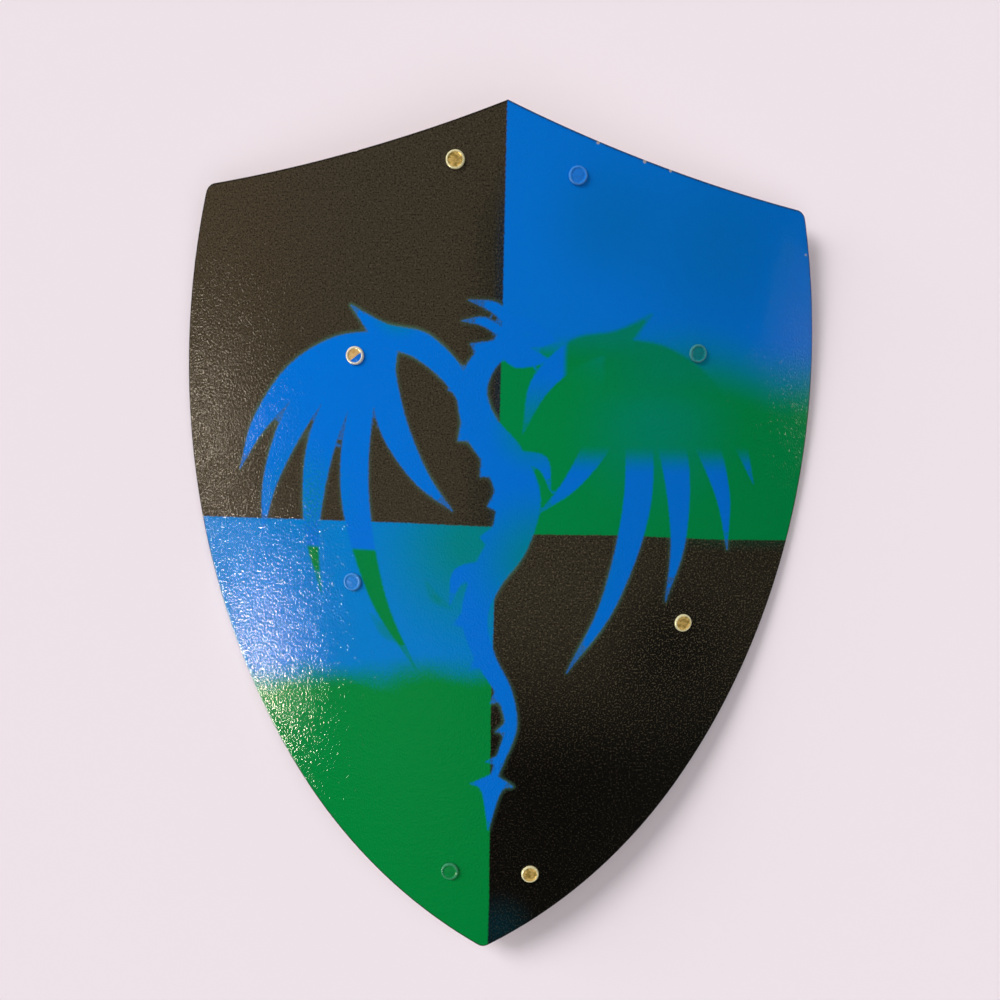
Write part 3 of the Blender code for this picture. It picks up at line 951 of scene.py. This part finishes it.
def add_floor():
    mesh = bpy.data.meshes.new("floor")
    size = 4.0
    corners = [(-size, -size, 0), (size, -size, 0), (size, size, 0), (-size, size, 0)]
    mesh.from_pydata(corners, [], [(0, 1, 2, 3)])
    floor = bpy.data.objects.new("floor", mesh)
    floor.location.z = -0.0002
    bpy.context.scene.collection.objects.link(floor)
    n = Nodes("pale_floor")
    n.shader.inputs["Base Color"].default_value = linear(240, 229, 235)
    n.shader.inputs["Roughness"].default_value = 0.9
    n.shader.inputs["Specular IOR Level"].default_value = 0.0
    mesh.materials.append(n.material)


def add_sun(name, towards, strength, spread):
    """A soft sun that shines from the given direction and leaves no reflection."""
    light = bpy.data.lights.new(name, "SUN")
    light.energy = strength
    light.angle = math.radians(spread)
    sun = bpy.data.objects.new(name, light)
    sun.rotation_euler = Vector(towards).to_track_quat("Z", "Y").to_euler()
    sun.visible_glossy = False
    bpy.context.scene.collection.objects.link(sun)


def add_window(name, towards, distance, size, power):
    """A bright panel that only its reflections show."""
    light = bpy.data.lights.new(name, "AREA")
    light.shape = "RECTANGLE"
    light.size, light.size_y = size
    light.energy = power
    light.color = (1.0, 0.87, 0.7)
    panel = bpy.data.objects.new(name, light)
    direction = Vector(towards).normalized()
    panel.location = direction * distance
    panel.rotation_euler = direction.to_track_quat("Z", "Y").to_euler()
    panel.visible_diffuse = False
    bpy.context.scene.collection.objects.link(panel)


def add_room():
    """Pale walls all round and a dark ceiling."""
    world = bpy.data.worlds.new("room")
    bpy.context.scene.world = world
    world.use_nodes = True
    tree = world.node_tree
    background = tree.nodes["Background"]
    background.inputs[0].default_value = (1.0, 0.97, 0.92, 1)
    towards = tree.nodes.new("ShaderNodeTexCoord")
    parts = tree.nodes.new("ShaderNodeSeparateXYZ")
    level = tree.nodes.new("ShaderNodeMapRange")
    level.interpolation_type = "SMOOTHSTEP"
    for key, value in (("From Min", 0.1), ("From Max", 0.3), ("To Min", 0.7), ("To Max", 0.01)):
        level.inputs[key].default_value = value
    tree.links.new(towards.outputs["Generated"], parts.inputs[0])
    tree.links.new(parts.outputs[2], level.inputs["Value"])
    tree.links.new(level.outputs[0], background.inputs[1])


def add_lights():
    add_room()
    add_sun("key", (-0.62, 0.5, 0.6), 2.2, 24)
    add_sun("low_left", (-0.9, 0.3, 0.32), 0.9, 26)
    add_sun("fill", (0.1, -0.1, 1.0), 1.35, 90)
    add_window("upper_window", (-0.88, -0.05, 0.47), 0.85, (0.12, 0.05), 0.45)
    add_window("left_window", (-0.84, -0.22, 0.49), 0.85, (0.1, 0.06), 0.05)
    add_window("low_window", (-0.76, -0.4, 0.52), 0.85, (0.08, 0.08), 2.5)
    add_window("wide_window", (-0.3, -0.4, 0.86), 0.85, (0.45, 0.3), 0.04)
    add_window("right_window", (0.94, 0.08, 0.32), 0.9, (0.03, 0.03), 0.18)


def add_camera():
    """The photograph's viewpoint, given in the board's own frame."""
    aim = Vector((0, -57.1, 0))
    distance = 560.0
    pitch = math.radians(8.5)
    roll = math.radians(1.7187)
    back = Vector((0, math.sin(pitch), math.cos(pitch)))
    up = Vector((0, math.cos(pitch), -math.sin(pitch)))
    right = Vector((1, 0, 0))
    side = right * math.cos(roll) + up * math.sin(roll)
    rise = up * math.cos(roll) - right * math.sin(roll)
    matrix = Matrix((side, rise, back)).transposed().to_4x4()
    matrix.translation = aim + back * distance
    matrix = REST @ matrix
    matrix.translation /= 1000
    data = bpy.data.cameras.new("camera")
    data.sensor_width = 36.0
    data.lens = 40.72
    data.shift_x = 0.004
    camera = bpy.data.objects.new("camera", data)
    camera.matrix_world = matrix
    bpy.context.scene.collection.objects.link(camera)
    bpy.context.scene.camera = camera


add_board()
LEATHER = leather_material()
for strap in STRAPS:
    add_strap(strap, LEATHER)
add_rivets()
add_floor()
add_lights()
add_camera()
bpy.context.scene.view_settings.view_transform = "Standard"
bpy.context.view_layer.update()
